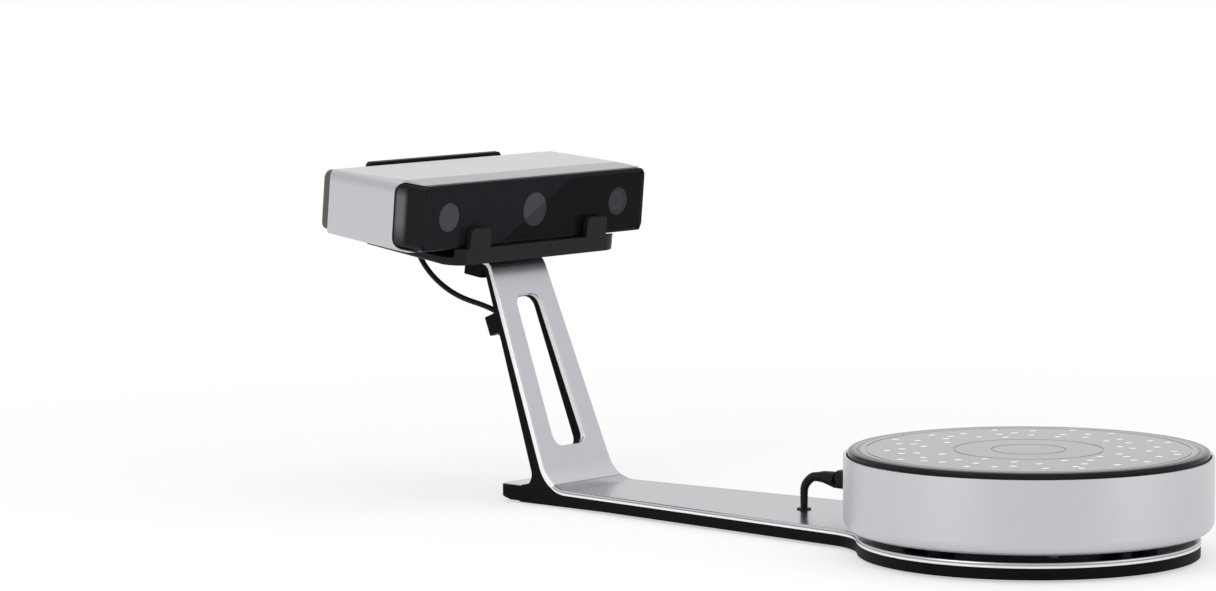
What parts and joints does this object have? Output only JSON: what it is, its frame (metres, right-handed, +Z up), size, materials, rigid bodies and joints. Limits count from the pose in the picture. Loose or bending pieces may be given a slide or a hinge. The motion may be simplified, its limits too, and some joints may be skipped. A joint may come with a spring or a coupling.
{
  "type": "desktop 3d scanner",
  "caption": "Desktop 3D scanner: a motor-driven turntable on a flat arm, with a leaning stand and cradle that hold a scan head with two cameras and a projector",
  "frame": {"origin": "middle of the whole object's footprint, on the surface that it stands on", "axes": "+X from the stand towards the turntable, the longest direction; +Y across the scan head; +Z up"},
  "size_m": [0.5743, 0.21, 0.2073],
  "materials": {
    "silver_metal": "satin silver, brushed very finely, with bright bevelled edges",
    "silver_paint": "satin silver paint on moulded plastic",
    "black_casting": "black, satin, finely grained",
    "black_plastic": "black moulded plastic, fine grain",
    "cable_black": "black soft cable jacket and moulded plugs",
    "grey_plastic": "dark grey moulded plastic",
    "rubber": "black matt rubber",
    "gloss_black": "glossy black",
    "smoked_glass": "smoked window over a lens",
    "dot_white": "white reflective marker dots",
    "steel": "zinc-plated steel",
    "brass": "sintered brass",
    "white_nylon": "natural nylon",
    "inner_aluminium": "bead-blasted aluminium",
    "inner_black": "black moulded plastic",
    "circuit_board": "green circuit board"
  },
  "bodies": {
    "root": {"stand_frame": "black_casting", "base_plate": "silver_metal", "upright_skin": "silver_metal", "heel_plate": "silver_metal", "heel_pad": "rubber", "disc_feet": "rubber", "channel_cover": "black_casting", "plate_screws": "steel", "skin_screws": "steel", "lead_clip": "black_casting", "lead_grommet": "cable_black", "clamp_block": "black_casting", "cradle": "black_plastic", "cradle_pads": "rubber", "cradle_screws": "steel", "signal_lead": "cable_black", "turntable_plug": "cable_black", "head_plug": "cable_black", "head_shell": "silver_paint", "front_bezel": "black_plastic", "front_panel": "gloss_black", "left_window": "smoked_glass", "projector_window": "smoked_glass", "right_window": "smoked_glass", "optical_bench": "inner_aluminium", "left_camera": "inner_black", "right_camera": "inner_black", "camera_lenses": "inner_black", "projector": "inner_black", "projector_lens": "inner_black", "heat_sink": "inner_aluminium", "main_board": "circuit_board", "fan_frame": "black_plastic", "rear_cover": "grey_plastic", "lead_socket": "inner_black", "usb_socket": "steel", "power_socket": "inner_black", "button_switch": "black_plastic", "rear_screws": "steel", "drum": "silver_paint", "turntable_pan": "black_plastic", "turntable_feet": "rubber", "pan_screws": "steel", "spindle_bush": "brass", "thrust_washer": "steel", "motor_bracket": "steel", "drive_motor": "steel", "reduction_pin": "steel", "control_board": "circuit_board", "turntable_socket": "inner_black"},
    "platter": {"platter": "gloss_black", "marker_dots": "dot_white", "platter_gear": "white_nylon", "platter_hub": "steel", "hub_screws": "steel", "retaining_ring": "steel"},
    "reduction": {"reduction_gear": "white_nylon"},
    "motor_rotor": {"motor_pinion": "brass"},
    "fan": {"fan_rotor": "black_plastic"},
    "button": {"power_button": "black_plastic"}
  },
  "joints": [
    {"name": "platter_spin", "type": "hinge", "parent": "root", "child": "platter", "pos_m": [0.18216, 0, 0.057], "axis": [0, 0, 1], "continuous": true},
    {"name": "reduction_spin", "type": "hinge", "parent": "root", "child": "reduction", "pos_m": [0.21816, 0.0429, 0.05], "axis": [0, 0, 1], "continuous": true},
    {"name": "motor_spin", "type": "hinge", "parent": "root", "child": "motor_rotor", "pos_m": [0.19045, 0.0589, 0.045], "axis": [0, 0, 1], "continuous": true},
    {"name": "fan_spin", "type": "hinge", "parent": "root", "child": "fan", "pos_m": [-0.27467, 0.075, 0.18587], "axis": [0.9954, 0, -0.0958], "continuous": true},
    {"name": "button_press", "type": "slide", "parent": "root", "child": "button", "axis": [0.9954, 0, -0.0958], "range_m": [0, 0.0012], "stiffness_N_per_m": 400, "springref_m": -0.001}
  ],
  "couplings": [
    {"joint": "reduction_spin", "follows": "platter_spin", "ratio": -6},
    {"joint": "motor_spin", "follows": "platter_spin", "ratio": 24}
  ]
}
